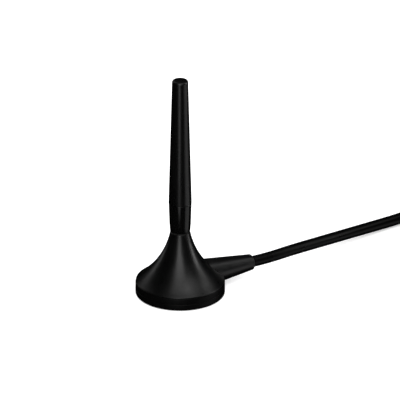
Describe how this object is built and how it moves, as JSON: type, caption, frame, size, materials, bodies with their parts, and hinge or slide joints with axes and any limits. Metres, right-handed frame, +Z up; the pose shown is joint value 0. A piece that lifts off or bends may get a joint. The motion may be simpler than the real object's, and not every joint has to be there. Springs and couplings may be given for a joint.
{
  "type": "magnetic mount antenna",
  "caption": "Short whip antenna on a flared magnetic base, with a screw-in mast, a strain relief and a coiled coaxial lead that ends in a threaded plug.",
  "frame": {"origin": "centre of the underside, on the surface that the magnet holds to", "axes": "+Z up along the mast, +X along the strain relief where the lead leaves the base"},
  "size_m": [0.218, 0.0838, 0.1016],
  "materials": {
    "skirt_plastic": "satin moulded ABS",
    "rim_rubber": "matt rubber",
    "pad_rubber": "matt, fine grained",
    "sheath_plastic": "satin moulded sleeve",
    "collar_black": "smooth black plating on brass",
    "boot_rubber": "satin flexible PVC",
    "cable_jacket": "satin PVC jacket",
    "shrink_sleeve": "heat-shrink tube",
    "seal_rubber": "matt rubber",
    "zinc_steel": "zinc plated",
    "magnet_plating": "nickel plated magnet",
    "brass": "turned brass",
    "gold_plating": "gold plated",
    "nickel_plating": "nickel plated, bright",
    "tinned_copper": "tinned copper braid",
    "copper": "bare copper",
    "solder": "solder",
    "white_dielectric": "polyethylene or PTFE",
    "former_plastic": "glass-filled rod",
    "silicone_red": "silicone gasket",
    "strap_fabric": "hook-and-loop strap"
  },
  "bodies": {
    "base": {"base_skirt": "skirt_plastic", "rim_ring": "rim_rubber", "base_pad": "pad_rubber", "magnet_cup": "zinc_steel", "magnet": "magnet_plating", "ground_plate": "brass", "cup_screws": "zinc_steel", "feed_socket": "brass", "feed_solder": "solder", "coax_conductor": "copper", "coax_dielectric": "white_dielectric", "coax_braid": "tinned_copper", "coax_jacket": "cable_jacket", "ground_solder": "solder", "anchor_ring": "brass", "cable_boot": "boot_rubber", "feed_cable": "cable_jacket", "cable_coil": "cable_jacket", "cable_ties": "strap_fabric", "plug_sleeve": "shrink_sleeve", "crimp_ferrule": "nickel_plating", "plug_body": "nickel_plating", "plug_insulator": "white_dielectric", "plug_pin": "gold_plating", "plug_ring": "brass", "plug_gasket": "silicone_red"},
    "seal": {"neck_seal": "seal_rubber"},
    "mast": {"mast_stud": "brass", "mast_collar": "collar_black", "mast_sheath": "sheath_plastic", "lower_rod": "brass", "upper_rod": "brass", "coil_former": "former_plastic", "phasing_coil": "copper", "rod_spacer": "white_dielectric"},
    "plug_nut": {"plug_nut": "nickel_plating"}
  },
  "joints": [
    {"name": "mast_lift", "type": "slide", "parent": "base", "child": "seal", "axis": [0, 0, 1], "range_m": [0, 0.00683]},
    {"name": "mast_spin", "type": "hinge", "parent": "seal", "child": "mast", "pos_m": [0, 0, 0.0293], "axis": [0, 0, 1], "range_deg": [0, 3510]},
    {"name": "nut_spin", "type": "hinge", "parent": "base", "child": "plug_nut", "pos_m": [0.13062, -0.04377, 0.02577], "axis": [-0.9063, 0.4226, 0], "continuous": true}
  ],
  "couplings": [
    {"joint": "mast_lift", "follows": "mast_spin", "m_per_rad": 0.00011141}
  ]
}
